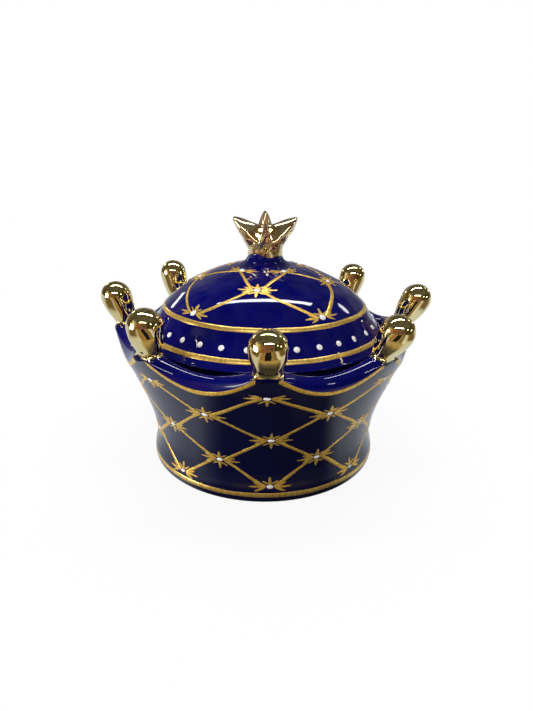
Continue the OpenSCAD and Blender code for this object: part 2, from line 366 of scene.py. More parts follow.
def makeLustre(name, thick, thin, roughness, metallic, patchSize, grainSize, grainHeight, half):
    # Fired gold lustre: a film of real gold on the glaze. Poured over the knobs it is a
    # mirror. Brushed on it is rough and partly dull, with thinner, browner places. The
    # bands were brushed on a turning wheel, which left marks across them: their noise
    # runs over (radius * azimuth, squeeze * height) instead of (x, y, z).
    material, tree, place = newMaterial(name)
    if name == wheel["turned"]:
        axes = axesOf(tree, place)
        around = calc(tree, "ARCTAN2", axes["X"], axes["Y"])
        place = addNode(tree, "CombineXYZ", {
            "X": calc(tree, "MULTIPLY", around, wheel["radius"] * mm),
            "Y": calc(tree, "MULTIPLY", axes["Z"], wheel["squeeze"]),
        }).outputs["Vector"]
    patch = noise(tree, place, patchSize * mm, 4.0)
    grain = noise(tree, place, grainSize * mm, 2.0)
    smoother, rougher = wheel["roughnessRange"]
    return finished(material, {
        "Base Color": ramp(tree, patch, [(0.5 - half, thin), (0.5 + half, thick)]),
        "Metallic": metallic,
        "Roughness": ranged(tree, grain, 0, 1, (roughness * smoother, roughness * rougher)),
        "Normal": bumped(tree, grain, grainHeight),
    })


thinGlaze = makeFired("cobaltGlaze", glaze | {"colours": thinColours})
deepGlazeAndPaintedShade = makeFired("deepCobaltGlazeAndPaintedShade", glaze | {"colours": deepAndPaintedShadeColours})
knobLustre, brushedLustre, bandLustre, crownLustre = (makeLustre(*row) for row in lustres)
whiteEnamel = makeFired("whiteEnamel", enamel)
bareClay = makeFired("bareEarthenware", clay)
print("materials made")


# Bowl: wall, floor, ledge and the scalloped lip, one fired piece

bowl = {
    "wall": [  # height, radius: outside, from the foot to above the peaks
        (0, 80.6), (1.6, 83.4), (4.4, 84.8), (9.9, 84.5), (16.5, 83.2), (24.2, 82.6),
        (33, 83.7), (41.8, 85.7), (50.6, 88.4), (59.4, 91.5), (68.2, 95), (77, 98.8),
        (85.8, 103.1), (112, 115.8),
    ],
    "under": [  # height, radius: glazed hollow under the floor, and the bare foot ring
        (2.5, 12), (2.5, 40), (2.5, 69), (2.3, 70.8), (1.6, 72.1), (0.5, 73.3), (0.1, 73.9),
        (0, 74.6), (0, 77), (0, 79.9),
    ],
    "bareFrom": 6,  # row of these from which the clay is bare
    "seat": [  # height, radius: the ledge from under the lip in to the mouth and out below
        (80.1, 93.4), (80, 92.4), (80, 86), (80, 80.6), (79.7, 79.7), (78.9, 79), (74.4, 79),
        (73.3, 79.6), (73, 80.6), (73, 87),
    ],
    "ledgeHeight": 80.0,
    "wallEnd": 79.0,  # height where the lip's rows take over from the wall's
    "wallThickness": 6.5,
    "insideTop": 71.0,
    "insideStep": 3,  # rows of the wall for one of its inside
    "floor": 6.5,
    "floorRoundingHeight": 16.5,
    "floorRounding": 9.0,
    "floorRadii": (45, 15),
    "rimLow": 85.5,  # edge of the lip at the middle of a scallop
    "rimRise": 21.5,
    "crestLow": 94.7,  # rounded top of the lip there
    "crestRise": 11.5,
    "crestRadius": 96.8,
    "crestOut": 6.6,
    "backLift": 5.5,
    "lipWidth": 4.4,
    "lipWidthLess": 2.0,
    "lipInner": (90.0, 80.5),  # height of the lip's inner edge and of its inside's foot
    "columns": 432,
    "rimSoftness": 5,  # passes that round the edge of the lip
}
knob = {
    "rows": [  # from the front one towards the right: lean in degrees, length, head radius,
        # radius of the ring it stands on
        (16, 17.6, 11.5, 103.4), (27, 19.4, 10.9, 102.6), (26, 20.8, 10.8, 103.0),
        (21, 20.5, 10.9, 103.0), (20, 21.2, 10.9, 103.2), (16, 22.2, 10.9, 103.4),
        (16, 20.3, 10.9, 102.8), (7, 19.0, 11.5, 102.4),
    ],
    "foot": (7.4, 4.6),  # radius, and the same where it faces outwards and is drawn in
    "footHeight": 101.3,
    "headAngles": (88, 4),  # degrees above the broadest ring, from the top down
    "waves": (0.13, 12),  # mm: height and length of the uneven places left by the hand
}

wallProfile = measured(smoothCurve(bowl["wall"], 6))
azimuths = turnOf(bowl["columns"])
lipRows = {"wall": 14, "top": 24, "inner": 16, "down": 5}
rimRow = lipRows["wall"]
crestRow = rimRow + lipRows["top"]


def makeLip(azimuth):
    # Section: up the wall, a quarter ellipse from the rim to the crest, another down to
    # the inner edge, then down to the ledge. The rim and the crest rise with u^2, u = -1
    # and 1 at neighbouring peaks.
    u2 = (2 * (azimuth / pitch - np.floor(azimuth / pitch)) - 1) ** 2
    rim = bowl["rimLow"] + bowl["rimRise"] * u2
    curve = wallProfile["curve"]
    rimR = np.interp(rim, curve[:, 0], curve[:, 1])
    lift = bowl["backLift"] * (1 - np.cos(np.radians(azimuth))) / 2 * (1 - u2 ** 2)
    top = bowl["crestLow"] + bowl["crestRise"] * u2 + lift
    topR = bowl["crestRadius"] + bowl["crestOut"] * u2
    inR = bowl["crestRadius"] - bowl["lipWidth"] + bowl["lipWidthLess"] * u2
    ledge, (inner, low) = bowl["ledgeHeight"], bowl["lipInner"]
    k = (np.arange(lipRows["wall"]) / lipRows["wall"])[:, None]
    h1 = between(ledge, rim, k)
    r1 = np.interp(h1, curve[:, 0], curve[:, 1])
    f = (np.arange(lipRows["top"]) / lipRows["top"] * math.pi / 2)[:, None]
    h2, r2 = between(rim, top, np.sin(f)), between(topR, rimR, np.cos(f))
    f = (np.arange(lipRows["inner"] + 1) / lipRows["inner"] * math.pi / 2)[:, None]
    h3, r3 = between(inner, top, np.cos(f)), between(topR, inR, np.sin(f))
    k = (np.arange(1, lipRows["down"] + 1) / lipRows["down"])[:, None]
    h4, r4 = between(inner, low, k) + 0 * inR, inR + 0 * k
    h, r = np.vstack([h1, h2, h3, h4]), np.vstack([r1, r2, r3, r4])
    for _ in range(bowl["rimSoftness"]):  # each row moves towards its neighbours' middle
        for rows in (h, r):
            rows[2:-2] = softened(rows[1:-3], rows[2:-2], rows[3:-1])
    # what would stand above the flat under a knob is pushed down onto it
    nearest = np.round(azimuth / pitch)
    under = np.array(knob["rows"])[nearest.astype(int) % 8]
    off, peak = np.radians(azimuth - pitch * nearest), np.radians(pitch * nearest)
    lean, ring = np.radians(under[:, 0]), under[:, 3]
    out, side = r * np.cos(off), r * np.sin(off)
    over = (out - ring) * np.sin(lean) + (h - knob["footHeight"]) * np.cos(lean)
    over = np.maximum(0, over)
    out, h = out - over * np.sin(lean), h - over * np.cos(lean)
    x = out * np.sin(peak) + side * np.cos(peak)
    y = -out * np.cos(peak) + side * np.sin(peak)
    return np.stack([x, y, h], -1)


lip = makeLip(azimuths)
slopeRow, slopeColumn = np.gradient(lip, axis=0), np.roll(lip, -1, 1) - np.roll(lip, 1, 1)
lipNormal = unit(np.cross(slopeColumn, slopeRow))

collar = {
    "height": (5.2, 2.6, 2.2),  # mm up the knob where it starts: outside, sides, inside
    "halfAngle": 7.0,  # degrees of azimuth that it reaches to both sides
    "outerRow": 9.3,  # row of the lip that it reaches on the outside
    "innerRow": 49.5,  # and on the inside
    "further": 1.08,  # times as far: the way along the lip in which the curve ends
    "sunk": 0.6,  # mm that its closed end lies under the glaze
    "goldAngle": 52.0,  # degrees round the knob where the rim's gold line runs into it
    "goldTo": (0.48, 0.42, 0.45),  # how far the gold runs down: outside, there, inside
    "goldInwards": (4, 18),  # degrees past there where the inside's share starts, its ease
    "tongue": 5.0,  # degrees, half the breadth of the gold that runs into the line
    "goldEnd": 0.985,  # the furthest that the gold runs
    "rows": {"side": 18, "head": 20, "gold": 9, "blue": 12},
    "columns": 144,
}
collarTurn = turnOf(collar["columns"])
fromFront = np.abs((collarTurn + 180) % 360 - 180)


def makeKnob(number):
    # Egg: radius foot + (head - foot) sin(90 t) up the axis, then a quarter circle. The
    # collar is a Hermite curve from a ring on the egg to one on the lip:
    # (2t^3 - 3t^2 + 1) A + (t^3 - 2t^2 + t) TA + (3t^2 - 2t^3) B + (t^3 - t^2) TB
    lean, length, head, ring = knob["rows"][number - 1]
    lean, peak = math.radians(lean), math.radians(pitch * (number - 1))
    radial, tangent, up = np.array([[math.sin(peak), -math.cos(peak), 0],
                                    [math.cos(peak), math.sin(peak), 0], [0, 0, 1]])
    axis = math.sin(lean) * radial + math.cos(lean) * up
    outwards = math.cos(lean) * radial - math.sin(lean) * up
    foot = ring * radial + knob["footHeight"] * up
    c, s = np.cos(np.radians(collarTurn)), np.sin(np.radians(collarTurn))
    way = c[:, None] * outwards + s[:, None] * tangent

    count = collar["rows"]
    down = np.linspace(0, 1, count["side"])[:, None]
    f = np.radians(np.linspace(*knob["headAngles"], count["head"]))[:, None, None]
    headPart = foot + (length + head * np.sin(f)) * axis + head * np.cos(f) * way
    outer, beside, inner = collar["height"]
    low = beside + (outer - beside) * eased(c) + (inner - beside) * eased(-c)
    t = (1 + (low / length - 1) * down)[..., None]
    base = between(*knob["foot"], np.maximum(c, 0) ** 2)[:, None]
    swell = between(base, head, np.sin(math.pi / 2 * t))
    sidePart = foot + length * t * axis + swell * way
    middle = foot + length * axis
    headPart = kneaded(headPart, middle, *knob["waves"], number)
    fade = 1 - down[..., None] ** 2  # no waves where the collar starts
    sidePart = kneaded(sidePart, middle, *knob["waves"], number, fade)

    start = sidePart[-1]
    slope = (head - base) * math.pi / 2 / length * np.cos(math.pi / 2 * low[:, None] / length)
    startWay = unit(-(axis + slope * way))
    rowOff = (collar["outerRow"] - crestRow) * np.sin(math.pi / 2 * np.maximum(c, 0)) \
        + (collar["innerRow"] - crestRow) * np.maximum(-c, 0)
    columnOff = collar["halfAngle"] * s / 360 * bowl["columns"]
    column = (number - 1) * pitch / 360 * bowl["columns"]
    end = onGrid(lip, crestRow + rowOff, column + columnOff)
    further = collar["further"]
    beyond = onGrid(lip, crestRow + further * rowOff, column + further * columnOff)
    endWay = unit(beyond - end)
    reach = np.linalg.norm(end - start, axis=1, keepdims=True)

    def curveAt(t):
        t = t[..., None]
        return (2 * t ** 3 - 3 * t ** 2 + 1) * start \
            + (t ** 3 - 2 * t ** 2 + t) * reach * startWay \
            + (3 * t ** 2 - 2 * t ** 3) * end + (t ** 3 - t ** 2) * reach * endWay

    (outer, there, inner), (past, ease) = collar["goldTo"], collar["goldInwards"]
    goldTo = between(outer, there, np.minimum(fromFront / collar["goldAngle"], 1))
    off = fromFront - collar["goldAngle"]
    goldTo = goldTo + (inner - there) * eased((off - past) / ease)
    goldTo = between(goldTo, 1, np.exp(-(off / collar["tongue"]) ** 4))
    goldTo = np.minimum(goldTo, collar["goldEnd"])
    goldPart = curveAt(goldTo * np.linspace(0, 1, count["gold"])[1:, None])
    bluePart = curveAt(between(goldTo, 1, np.linspace(0, 1, count["blue"])[:, None]))
    sunk = end - collar["sunk"] * onGrid(lipNormal, crestRow + rowOff, column + columnOff)
    gold = np.concatenate([headPart, sidePart, goldPart])
    blue = np.concatenate([bluePart, sunk[None]])
    return gold, blue


knobs = [makeKnob(number) for number in range(1, 9)]


def makeBowl():
    # foot, outside of the wall, lip, ledge, inside and floor
    curve = wallProfile["curve"]
    outside = curve[curve[:, 0] < bowl["wallEnd"]]
    thick, floor, bend = bowl["wallThickness"], bowl["floor"], bowl["floorRoundingHeight"]
    inner = outside[(outside[:, 0] < bowl["insideTop"]) & (outside[:, 0] > bend)]
    inner = inner[::-bowl["insideStep"]] - (0, thick)
    f = np.radians(np.linspace(0, 90, 9))
    floorR = np.interp(bend, curve[:, 0], curve[:, 1]) - thick
    rounding = np.stack([between(floor, bend, 1 - np.sin(f)),
                         floorR - bowl["floorRounding"] * (1 - np.cos(f))], 1)
    flat = [(floor, r) for r in bowl["floorRadii"]]
    inside = np.vstack([bowl["seat"], inner, rounding, flat])
    grid = np.concatenate([
        revolve(bowl["under"], azimuths), revolve(outside, azimuths), lip,
        revolve(inside, azimuths),
    ])
    points, quads, tris = shells(grid[None])
    row = np.arange(len(grid) - 1).repeat(bowl["columns"])
    bare = (row >= bowl["bareFrom"]) & (row < len(bowl["under"]) - 1)
    wall = row < len(bowl["under"]) + len(outside) + rimRow
    parts = [(points, quads, tris, np.where(bare, 2, np.where(wall, 1, 0)))]
    deep = (fromFront < collar["goldAngle"]).astype(int)
    for gold, blue in knobs:
        parts.append(single(blue, np.tile(deep, len(blue) - 1)))
    buildPiece("glazed_bowl", parts, [thinGlaze, deepGlazeAndPaintedShade, bareClay], "jar",
               ("bowl_wall", "lid_ledge", "crown_lip"))


makeBowl()
for number, (gold, blue) in enumerate(knobs, 1):
    buildPiece(f"gold_knob_{number}", [single(gold)], [knobLustre], "jar",
               (f"knob_{number}",))


# Lid

lid = {
    "dome": [  # height, radius: from the widest edge up to the top of the neck
        (95.1, 89.3), (95.9, 89.7), (96.8, 89.0), (97.9, 87.8), (100.9, 85.2), (105.1, 81.8),
        (110.2, 77.9), (117.5, 73.1), (122.4, 68.2), (130.4, 58.3), (136.2, 47.3), (140.8, 36.3),
        (144, 25.6), (145.2, 20.2), (146.3, 16.9), (147.4, 14.9), (148.5, 13.7), (149.6, 13.05),
    ],
    "neckTop": [(150.2, 12.7), (150.45, 12.3), (150.5, 11.5), (150.5, 5)],
    "edge": [  # from the widest edge down to the seat, the locating ring and up inside it
        (94.4, 88.4), (93.2, 87.5), (91.3, 87), (88.9, 86.8), (87, 86.7), (82, 86.6),
        (80.8, 86.3), (80.3, 85.6), (80.2, 84.8), (80.2, 79), (80, 78), (79.5, 77.8),
        (75.5, 77.8), (74.5, 77.4), (74.05, 76.6), (74, 75.4), (74.2, 74), (74.7, 73.1),
        (75.7, 72.8), (86, 73.2),
    ],
    "thickness": 5.5,
    "insideEnds": 34,  # steps of the dome that its inside leaves out at both ends
    "insideStep": 4,
    "columns": 384,
    "climb": [(0.6, 0, 1e9), (2.4, -35, 30), (0.7, 48, 26)],  # mm, azimuth, degrees wide
    "climbWaves": [(0.12, 11, 0), (0.08, 23, 50)],  # mm, waves in a turn, degrees
    "climbLift": 0.12,
    "climbSection": [  # share of its height, share of its lift
        (-0.5, 1), (0, 1), (0.5, 1), (0.85, 0.9), (0.97, 0.5), (1.0, -0.5), (0.8, -2),
    ],
}
domeProfile = measured(smoothCurve(lid["dome"], 8))


def makeLid():
    curve, normal = domeProfile["curve"], domeProfile["normal"]
    ends = lid["insideEnds"]
    inside = (curve - lid["thickness"] * normal)[ends:-ends:lid["insideStep"]]
    rows = np.vstack([lid["neckTop"][::-1], curve[::-1], lid["edge"], inside])
    turns = turnOf(lid["columns"])
    points, quads, tris = shells(revolve(rows, turns)[None])
    # under the edge the dark glaze is painted shade, for the gap above the lip
    row = np.arange(len(rows) - 1).repeat(lid["columns"])
    under = row >= len(lid["neckTop"]) + len(curve) - 1
    # glaze that crept up the small crown's foot: a thin sleeve as high as the sum of
    # h exp(-((a - a0) / w)^4) and h sin(n a + p)
    a = (turns + 180) % 360 - 180
    high = sum(h * np.exp(-((a - middle) / wide) ** 4) for h, middle, wide in lid["climb"])
    high = high + sum(h * np.sin(np.radians(n * a + p)) for h, n, p in lid["climbWaves"])
    v, out = np.array(lid["climbSection"]).T[:, :, None]
    h = smallCrown["footHeight"] + high * v
    r = np.maximum(flankRadius(h, waistAt(a)), smallCrown["footRadius"])
    r = r + lid["climbLift"] * out
    sleeve = onAxis(h, r, a)
    parts = [(points, quads, tris, under.astype(int)), single(sleeve)]
    buildPiece("glazed_lid", parts, [thinGlaze, deepGlazeAndPaintedShade], "lid",
               ("lid_dome",))


# Small crown on the lid

smallCrown = {
    "footHeight": 150.7,
    "footRadius": 12.3,
    "waistRadius": (13.1, 14.2),  # in front, and at the sides and behind
    "waistHeight": 160.4,
    "notchOut": 0.2,
    "notchHeight": 161.8,
    "middleHeight": 171.6,
    "halves": [  # half a point in each row, from the front one to the right: angle of the
        # point and of its notch, height and radius of the point, breadth, fall
        (0, 24, 185.5, 21.2, 0.36, 2.6), (90, 24, 179.9, 24.6, 0.56, 2.8),
        (90, 135, 179.9, 24.6, 0.50, 2.6), (180, 135, 182.8, 24.0, 0.50, 1.7),
        (180, 225, 182.8, 24.0, 0.46, 1.7), (270, 225, 179.9, 24.8, 0.50, 2.6),
        (270, 336, 179.9, 24.8, 0.56, 2.8), (360, 336, 185.5, 21.2, 0.36, 2.6),
    ],
    "rounder": (0.1, 0.6),  # how much breadth and fall grow from the edge to the middle
    "waistStart": 2.4,
    "swell": 0.375,
    "softness": (46, 14),  # passes that round the edge, and the ridges across it
    "steps": 26,  # columns from a point to its notch
    "crowding": 1.4,  # power that draws these towards the point
    "rings": (44, 32),  # rows of the flank and of the top
    "topEnd": 0.03,  # share of the way out where the top ends in the middle
    "firstSoft": 8,  # row from which the passes work
    "waves": (0.32, 8),  # mm: height and length of the uneven places left by the hand
    "wavesFrom": (152, 4),  # height where they start, mm over which they come in
    "middle": (0, 0, 165),
    "seed": 5,
}


def waistAt(azimuth):
    # radius of the waist: front + (rest - front) (1 - cos^2 a) before, rest behind
    front, rest = smallCrown["waistRadius"]
    return rest + (front - rest) * np.maximum(0, np.cos(np.radians(azimuth))) ** 2


def flankRadius(height, waist):
    # foot + (waist - foot) v^waistStart, v the share of the way up to the waist
    c = smallCrown
    v = np.clip((height - c["footHeight"]) / (c["waistHeight"] - c["footHeight"]), 0, 1)
    return c["footRadius"] + (waist - c["footRadius"]) * v ** c["waistStart"]


def makeSmallCrown():
    # Height and radius of the edge fall from each point to the notch with
    # s = 1 / (1 + (t / breadth)^fall), scaled to end at 0. From the waist the flank widens
    # with v (1 + swell (1 - v)). The top runs in to the middle. Then each row, and for
    # some passes each column, moves towards its neighbours' middle.
    c = smallCrown
    steps = (np.arange(c["steps"] + 1) / c["steps"]) ** c["crowding"]
    u = np.linspace(1, c["topEnd"], c["rings"][1])[:, None]  # share of the way out
    notchH, footH, waistH = c["notchHeight"], c["footHeight"], c["waistHeight"]
    edge, top = [], []
    for here, notch, height, radius, breadth, fall in c["halves"]:
        t = steps[None, :-1] if here < notch else steps[None, :0:-1]
        broad, steep = breadth + c["rounder"][0] * (1 - u), fall + c["rounder"][1] * (1 - u)
        last = 1 / (1 + broad ** -steep)
        s = (1 / (1 + (t / broad) ** steep) - last) / (1 - last)
        notchR = waistAt(notch) + c["notchOut"]
        edge.append(np.vstack([between(here, notch, t), between(notchR, radius, s[:1])]))
        top.append(between(c["middleHeight"], between(notchH, height, s), u))
    angle, edgeR = np.concatenate(edge, 1)
    topH = np.concatenate(top, 1)
    edgeH = topH[0]
    waistR = waistAt(angle)
    flankH = between(footH, edgeH, np.linspace(0, 1, c["rings"][0])[:, None])
    v = np.clip((flankH - waistH) / (edgeH - waistH), 0, 1)
    flankR = flankRadius(flankH, waistR) + (edgeR - waistR) * v * (1 + c["swell"] * (1 - v))
    r, h = np.vstack([flankR, edgeR * u[1:]]), np.vstack([flankH, topH[1:]])
    first = c["firstSoft"]
    for n in range(c["softness"][0]):
        for rows in (h, r):
            rows[first:-1] = softened(rows[first - 1:-2], rows[first:-1], rows[first + 1:])
            if n < c["softness"][1]:
                soft = rows[first:]
                rows[first:] = softened(np.roll(soft, 1, 1), soft, np.roll(soft, -1, 1))
    fade = eased((h - c["wavesFrom"][0]) / c["wavesFrom"][1])[..., None]
    grid = kneaded(onAxis(h, r, angle), c["middle"], *c["waves"], c["seed"], fade)
    buildPiece("small_crown", [single(grid)], [crownLustre], "lid", ("finial",))


makeLid()
makeSmallCrown()


# Painted lines, flowers and dots: thin raised shapes on the curves of the glaze

paint = {
    "lift": 0.10,  # mm that gold stands above the glaze
    "crown": 1.2,  # times as much in the middle of a stroke
    "sink": 0.15,  # mm that its edge goes into the glaze
    "lineWidth": 2.3,
    "wobble": 0.25,  # mm of the hand's unsteadiness
    "widthSpread": 0.10,  # share by which widths differ
    "widthWave": (0.08, 7, 6),  # share by which a line's width sways, radians, their shift
    "petalWobble": 0.16,  # mm
    "petalStations": (0.02, 0.98, 7),  # shares of its length, how many
    "dotLift": 0.55,
    "dotSink": 0.1,  # mm that its outline goes into the glaze
    "dotRings": (0.12, 0.4, 0.65, 0.85, 0.96, 1.0),  # shares of its outline
    "dotColumns": 14,
    "dotSpread": 0.05,
    "dotGap": 3.1,  # mm from the middle of a dot to the lines
    "bandColumns": 300,
    "bandSway": 0.08,  # mm, for each of the waves in a turn that follow
    "bandWaves": (3, 8, 19),
}
hand = np.random.default_rng(45)
strokeAcross = np.array([-1, -0.82, 0, 0.82, 1, 0])


def strokeRise(tail=2):
    # heights across a stroke: sunk edges, a raised top and the middle of its underside
    sink, lift = paint["sink"], paint["lift"]
    return np.array([-sink, lift, lift * paint["crown"], lift, -sink, -tail * sink])


def strokes(profile, azimuth, along, width):
    # a flat lens along paths of (count, stations), its points width / 2 * across aside
    r = radiusAt(profile, along)
    dx = np.gradient(np.radians(azimuth), axis=1) * r
    ds = np.gradient(along, axis=1)
    size = np.sqrt(dx ** 2 + ds ** 2)
    side = strokeAcross * width[..., None] / 2
    a = azimuth[..., None] + np.degrees(-ds / size / r)[..., None] * side
    s = along[..., None] + (dx / size)[..., None] * side
    return onProfile(profile, a, s, strokeRise() + 0 * a)


def lineStroke(profile, start, end, stations, inPlan):
    # Straight in azimuth and length between two (azimuth, along), and the share inPlan of
    # the way to straight as seen from above. Bend: A sin(pi t) + B sin(2 pi t).
    t = np.linspace(0, 1, stations)[None, :]
    wave = hand.normal(0, paint["wobble"], 2)
    bend = wave[0] * np.sin(math.pi * t) + wave[1] * np.sin(2 * math.pi * t)
    azimuth, along = (between(start[k], end[k], t) for k in (0, 1))
    if inPlan:
        a, r = np.radians(azimuth[:, [0, -1]]), radiusAt(profile, along[:, [0, -1]])
        x, y = (between(ends[:, :1], ends[:, 1:], t) for ends in (r * np.sin(a), r * np.cos(a)))
        turned = (np.degrees(np.arctan2(x, y)) - azimuth + 180) % 360 - 180
        radii, lengths = profile["curve"][::-1, 1], profile["length"][::-1]
        azimuth = azimuth + inPlan * turned
        along = between(along, np.interp(np.hypot(x, y), radii, lengths), inPlan)
    height, waves, shift = paint["widthWave"]
    uneven = paint["widthSpread"] * hand.normal(0, 1)
    slow = height * np.sin(waves * t + shift * wave[0])
    return strokes(profile, azimuth, along + bend, paint["lineWidth"] * (1 + uneven + slow))


def petalStrokes(profile, centres, petals):
    # rows of x0, y0, x1, y1, width, fullness in mm round the flower's middle, as wide as
    # w (sin(pi t^f))^0.5: a large f puts the belly near the tip
    rows = np.tile(np.asarray(petals, float), (len(centres), 1))
    place = np.repeat(centres, len(petals), 0)
    rows[:, :4] += hand.normal(0, paint["petalWobble"], (len(rows), 4))
    rows[:, 4] *= 1 + paint["widthSpread"] * hand.normal(0, 1, len(rows))
    t = np.linspace(*paint["petalStations"])[None, :]
    x, y = (between(rows[:, [k]], rows[:, [k + 2]], t) for k in (0, 1))
    width = rows[:, 4:5] * np.sin(math.pi * t ** rows[:, 5:6]) ** 0.5
    along = place[:, 1:2] + y
    azimuth = place[:, 0:1] + np.degrees(x / radiusAt(profile, place[:, 1:2]))
    return strokes(profile, azimuth, along, width)


def dots(profile, centres, wide, high):
    # low domes on an oval: lift sqrt(1 - q^2) at share q of the outline
    q = np.array(paint["dotRings"])[:, None]
    rise = paint["dotLift"] * np.sqrt(np.maximum(0, 1 - q ** 2))
    rise[-1] = -paint["dotSink"]
    f = np.radians(turnOf(paint["dotColumns"]))
    uneven = 1 + paint["dotSpread"] * hand.normal(0, 1, (len(centres), 1, 1))
    x = q * np.cos(f) * wide / 2 * uneven
    y = q * np.sin(f) * high / 2 * (2 - uneven)
    around, along = centres[:, 0, None, None], centres[:, 1, None, None]
    azimuth = around + np.degrees(x / radiusAt(profile, along))
    return onProfile(profile, azimuth, along + y, rise + 0 * x)


def band(profile, height, width):
    # a lens carried round the piece, each edge swaying with the sum of h sin(n a + p)
    a = turnOf(paint["bandColumns"])[:, None]
    phase = hand.uniform(0, 2 * math.pi, (3, 2))
    sway = sum(paint["bandSway"] * np.sin(n * np.radians(a) + phase[i])
               for i, n in enumerate(paint["bandWaves"]))
    across = strokeAcross * width / 2
    s = lengthAt(profile, height) + across + np.where(strokeAcross < 0, sway[:, :1], sway[:, 1:])
    return onProfile(profile, a + 0 * s, s, strokeRise() + 0 * s)


def sideSpray(reach):
    # the right and the left spray: three petals from beside the dot
    right = [
        (3.2, 0, reach, 0, 1.7, 0.7), (3.4, 0.4, reach - 3.4, 3, 1.8, 0.7),
        (3.4, -0.4, reach - 3.9, -3, 1.8, 0.7), (3.0, 0, 6.8, 0, 2.8, 0.8),
    ]
    return right + [(-x0, y0, -x1, y1, w, f) for x0, y0, x1, y1, w, f in right]


def upSpray(sign):
    # the upper or the lower spray: a broad leaf with a thin petal to each side
    upper = [(0, 1.6, 0, 7.2, 2.4, 0.72), (0.4, 1.6, 5.4, 4.2, 1.3, 0.8),
             (-0.4, 1.6, -5.4, 4.2, 1.3, 0.8), (0, 1.4, 0, 3.6, 2.8, 1.0)]
    return [(x0, sign * y0, x1, sign * y1, w, f) for x0, y0, x1, y1, w, f in upper]


bodyRows = [  # height on the wall, first azimuth, which sprays besides the side ones, and
    # by the number of a flower the degrees and mm by which the hand missed
    (13.6, 1.3, "up", {7: (1.1, -1.1), 0: (0.7, -0.3), 1: (-0.8, 0)}),
    (30.9, 23.8, "both", {7: (0, -0.4), 0: (0, 0.6)}),
    (49.5, 1.3, "both", {7: (-1.0, -0.8), 0: (0.7, 0.5)}),
    (67.4, 23.8, "both", {7: (-2.6, 0), 0: (0.6, 0.9)}),
    (84.0, 1.3, "down", {7: (-2.0, 0.4), 0: (-1.4, 1.5), 1: (2.0, 0.3)}),
]
bodyPaint = {
    "reach": 14.2,  # mm, of the side sprays
    "dot": (4.7, 2.4),  # wide and high
    "stations": 14,  # of a line
    "band": (7.4, 3.5),  # height and width
}
lidRings = [  # height on the dome, azimuths listed one by one, which sprays, height of the dots
    (122.0, [-43.4, 31.2, 101.8, 172.8, 244.8], "up", 4.2),
    (136.4, [-87.2, -7.4, 67.9, 136.8, 205.8], "both", 3.2),
    (144.1, [-39.9, 29.5, 101.8, 172.8, 244.8], "side", 3.2),
]
lidPaint = {
    "reach": 13.0,
    "dotWidth": 4.6,
    "stations": 18,
    "rimDots": 33,
    "rimDot": (4.0, 4.0),
    "rimDotHeight": 107.0,  # on the dome
    "rimDotFirst": 2.06,  # azimuth
    "rimDotMissed": 0.25,  # degrees by which the hand missed
    "inPlan": 0.8,  # how straight the inner lines are as seen from above
    "bands": [(100.9, 3.6), (117.5, 3.6)],  # height and width
}
spraysOf = {"side": [], "up": upSpray(1), "down": upSpray(-1),
            "both": upSpray(1) + upSpray(-1)}


def centresAt(profile, height, angles):
    angles = np.asarray(angles, float)
    return np.stack([angles, np.full(len(angles), lengthAt(profile, height))], 1)


def linesBetween(profile, lower, upper, stations, inPlan=0, side=-1):
    # from each flower to its two neighbours in the next row, to a gap before the dots, on
    # this side (-1) or the far side (1) of the upper one
    lines = []
    for start in lower:
        gaps = (upper[:, 0] - start[0] + 180) % 360 - 180
        for gap in (gaps[gaps > 0].min(), gaps[gaps < 0].max()):
            away = math.copysign(math.degrees(paint["dotGap"]), gap)
            end = np.array([start[0] + gap, upper[gaps == gap, 1][0]])
            first = start + (away / radiusAt(profile, start[1]), 0)
            last = end + (side * away / radiusAt(profile, end[1]), 0)
            lines.append(lineStroke(profile, first, last, stations, inPlan))
    return lines


def buildPaint(name, grids, material, body, bands=()):
    parts, materials = [(*shells(np.concatenate(grids)), 0)], [material]
    if bands:
        parts.append((*rings(np.array(bands)), 1))
        materials.append(bandLustre)
    buildPiece(name, parts, materials, body)


def paintFlowers(profile, rows, reach):
    # petals and dots of rows of (centres, sprays, dot)
    gold, white = [], []
    for centres, sprays, dot in rows:
        gold.append(petalStrokes(profile, centres, sideSpray(reach) + spraysOf[sprays]))
        white.append(dots(profile, centres, *dot))
    return gold, white


def paintBody():
    rows, lines = [], []
    for h, first, sprays, missed in bodyRows:
        centres = centresAt(wallProfile, h, first + pitch * np.arange(8))
        for number, offset in missed.items():
            centres[number] += offset
        rows.append((centres, sprays, bodyPaint["dot"]))
    gold, white = paintFlowers(wallProfile, rows, bodyPaint["reach"])
    for lower, upper in zip(rows, rows[1:]):
        lines += linesBetween(wallProfile, lower[0], upper[0], bodyPaint["stations"])
    bands = [band(wallProfile, *bodyPaint["band"])]
    buildPaint("gold_lattice", lines, brushedLustre, "jar", bands=bands)
    buildPaint("gold_star_flowers", gold, brushedLustre, "jar")
    buildPaint("white_dots", white, whiteEnamel, "jar")


rimLine = {
    "ends": (3.2, 3.8),  # degrees after one peak and before the next
    "steady": 5.0,  # degrees from the peaks, inside which the lip's rows crowd
    "stations": 90,
    "width": 3.0,
    "sway": (0.2, 11, 40),  # mm, waves in a turn, degrees more at each peak
    "endWidth": (0.9, 3.5),  # mm more at the ends, degrees over which that comes in
    "down": 0.4,  # rows of the lip below its edge
}


